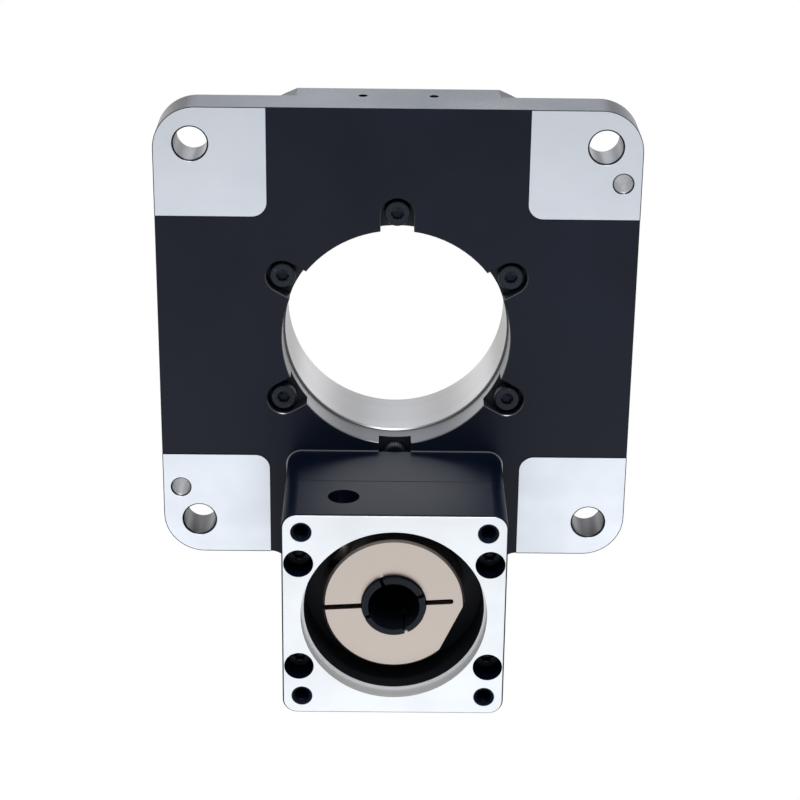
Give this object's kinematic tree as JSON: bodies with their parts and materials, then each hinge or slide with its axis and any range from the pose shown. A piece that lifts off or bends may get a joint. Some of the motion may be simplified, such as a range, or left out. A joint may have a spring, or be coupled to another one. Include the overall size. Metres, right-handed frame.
{
  "type": "hollow rotary platform",
  "caption": "Square-flanged hollow rotary platform: a turntable on a crossed roller bearing, turned by a helical gear pair from a servo motor flange below.",
  "frame": {"origin": "on the turntable's axis, in the plane of the four mounting feet", "axes": "+Z along the turntable's axis towards the turntable, +Y towards the motor flange, +X across"},
  "size_m": [0.13, 0.1586, 0.072],
  "materials": {
    "black_anodised": "satin",
    "turned_aluminium": "satin",
    "bearing_steel": "ground",
    "polished_steel": "polished",
    "gear_steel": "oiled",
    "nickel_plate": "satin",
    "black_oxide": "black oxide",
    "spring_steel": "phosphated",
    "seal_rubber": "matt",
    "bush_bronze": "plain"
  },
  "bodies": {
    "base": {"base_housing": "black_anodised", "bearing_block": "black_anodised", "motor_adapter": "black_anodised", "bearing_inner_ring": "bearing_steel", "base_screws": "black_oxide", "adapter_screws": "black_oxide", "upper_bearing_outer_ring": "bearing_steel", "lower_bearing_outer_ring": "bearing_steel", "bearing_retaining_ring": "spring_steel", "shaft_seal": "seal_rubber", "pinion_bush": "bush_bronze", "dust_seal": "seal_rubber"},
    "table": {"turntable": "turned_aluminium", "bearing_outer_ring_lower": "bearing_steel", "bearing_outer_ring_upper": "bearing_steel", "ring_gear": "gear_steel", "table_screws": "black_oxide"},
    "cross_roller_set": {"cross_rollers": "polished_steel"},
    "input": {"input_shaft": "gear_steel", "clamp_collar": "nickel_plate", "clamp_screw": "black_oxide", "upper_bearing_inner_ring": "bearing_steel", "lower_bearing_inner_ring": "bearing_steel", "bearing_spacer": "bearing_steel", "shaft_retaining_ring": "spring_steel"},
    "upper_roller_set": {"upper_bearing_rollers": "polished_steel"},
    "lower_roller_set": {"lower_bearing_rollers": "polished_steel"}
  },
  "joints": [
    {"name": "table_spin", "type": "hinge", "parent": "base", "child": "table", "pos_m": [0, 0, 0], "axis": [0, 0, 1], "continuous": true},
    {"name": "cross_roller_roll", "type": "hinge", "parent": "base", "child": "cross_roller_set", "pos_m": [0, 0, 0], "axis": [0, 0, 1], "continuous": true},
    {"name": "input_spin", "type": "hinge", "parent": "base", "child": "input", "pos_m": [0, 0.06361, 0], "axis": [0, 0, 1], "continuous": true},
    {"name": "upper_roller_roll", "type": "hinge", "parent": "base", "child": "upper_roller_set", "pos_m": [0, 0.06361, 0], "axis": [0, 0, 1], "continuous": true},
    {"name": "lower_roller_roll", "type": "hinge", "parent": "base", "child": "lower_roller_set", "pos_m": [0, 0.06361, 0], "axis": [0, 0, 1], "continuous": true}
  ],
  "couplings": [
    {"joint": "cross_roller_roll", "follows": "table_spin", "ratio": 0.51964},
    {"joint": "input_spin", "follows": "table_spin", "ratio": -10},
    {"joint": "upper_roller_roll", "follows": "table_spin", "ratio": -4.4231},
    {"joint": "lower_roller_roll", "follows": "table_spin", "ratio": -4.4231}
  ]
}
